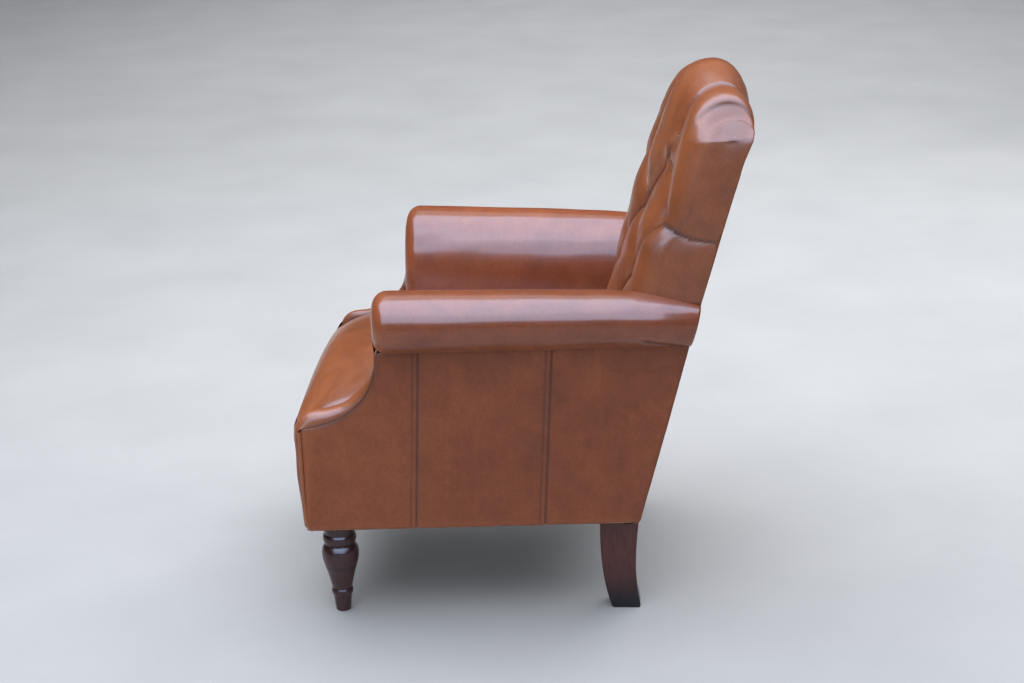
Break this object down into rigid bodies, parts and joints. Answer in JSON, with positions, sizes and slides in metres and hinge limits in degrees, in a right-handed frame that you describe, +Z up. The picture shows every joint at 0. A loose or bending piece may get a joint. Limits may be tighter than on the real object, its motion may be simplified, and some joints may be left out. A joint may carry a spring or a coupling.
{
  "type": "upholstered armchair",
  "caption": "Low-backed library armchair with scroll arms, a deep-buttoned leaning back, a sprung seat, turned front legs and sabre rear legs.",
  "frame": {"origin": "on the floor, under the middle of the whole chair", "axes": "+Z up; -Y is the chair's front; +X is the sitter's left"},
  "size_m": [0.7082, 0.811, 0.978],
  "materials": {
    "leather": "satin",
    "leather_trim": "satin",
    "mahogany": "gloss",
    "beech": "matte",
    "zinc_steel": "satin",
    "spring_steel": "satin",
    "foam": "matte",
    "hessian": "matte",
    "webbing": "matte",
    "twine": "matte",
    "backing_board": "matte",
    "black_cambric": "matte"
  },
  "bodies": {
    "root": {"front_leg_left": "mahogany", "front_leg_right": "mahogany", "rear_leg_left": "mahogany", "rear_leg_right": "mahogany", "front_leg_bolts": "zinc_steel", "rear_leg_bolts": "zinc_steel", "leg_bolt_nuts": "zinc_steel", "front_rail": "beech", "back_rail": "beech", "side_rail_left": "beech", "side_rail_right": "beech", "front_post_left": "beech", "front_post_right": "beech", "swoop_board_left": "beech", "swoop_board_right": "beech", "arm_post_left": "beech", "arm_post_right": "beech", "arm_top_rail_left": "beech", "arm_top_rail_right": "beech", "arm_roll_board_left": "beech", "arm_roll_board_right": "beech", "back_upright_left": "beech", "back_upright_right": "beech", "back_top_rail": "beech", "back_mid_rail": "beech", "back_seat_rail": "beech", "corner_blocks": "beech", "seat_springs": "spring_steel", "spring_clips": "zinc_steel", "seat_hessian": "hessian", "seat_foam": "foam", "seat_cover": "leather", "front_border": "leather", "front_welt_left": "leather_trim", "front_welt_right": "leather_trim", "arm_facing_left": "leather", "arm_facing_right": "leather", "outside_arm_front_left": "leather", "outside_arm_front_right": "leather", "outside_arm_middle_left": "leather", "outside_arm_middle_right": "leather", "outside_arm_rear_left": "leather", "outside_arm_rear_right": "leather", "side_board_left": "backing_board", "side_board_right": "backing_board", "arm_padding_left": "foam", "arm_padding_right": "foam", "arm_cover_left": "leather", "arm_cover_right": "leather", "back_webbing": "webbing", "back_hessian": "hessian", "back_foam": "foam", "inside_back_cover": "leather", "outside_back_board": "backing_board", "outside_back_panel": "leather", "back_buttons": "leather_trim", "button_ties": "twine", "dust_cover": "black_cambric"}
  },
  "joints": []
}
